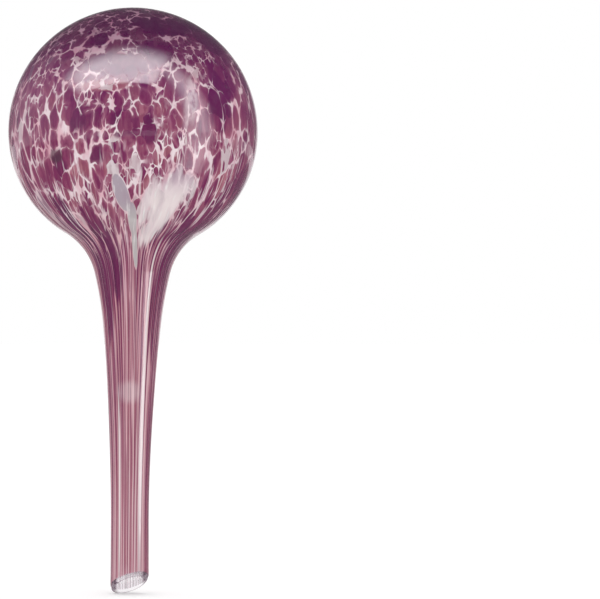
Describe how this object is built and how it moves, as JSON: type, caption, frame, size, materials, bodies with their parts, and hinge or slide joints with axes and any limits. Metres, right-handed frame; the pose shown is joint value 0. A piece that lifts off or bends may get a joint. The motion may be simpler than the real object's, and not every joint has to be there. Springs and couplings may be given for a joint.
{
  "type": "watering globe",
  "caption": "Blown glass plant watering globe: round reservoir bulb, flared neck and long hollow stem with a slanted mouth, in clear glass coated with purple chips.",
  "frame": {"origin": "on the stem's axis, level with the highest point of the slanted mouth", "axes": "+Z along the stem's axis, up to the bulb; +X towards the high side of the mouth"},
  "size_m": [0.09, 0.09, 0.2116],
  "materials": {
    "clear_glass": "clear, glossy, fire polished",
    "purple_chips": "plum and rose chips melted flat, with pale veins between them, glossy"
  },
  "bodies": {
    "root": {"bulb": "clear_glass", "neck": "clear_glass", "stem": "clear_glass", "colour_coat": "purple_chips", "mouth_lip": "clear_glass"}
  },
  "joints": []
}
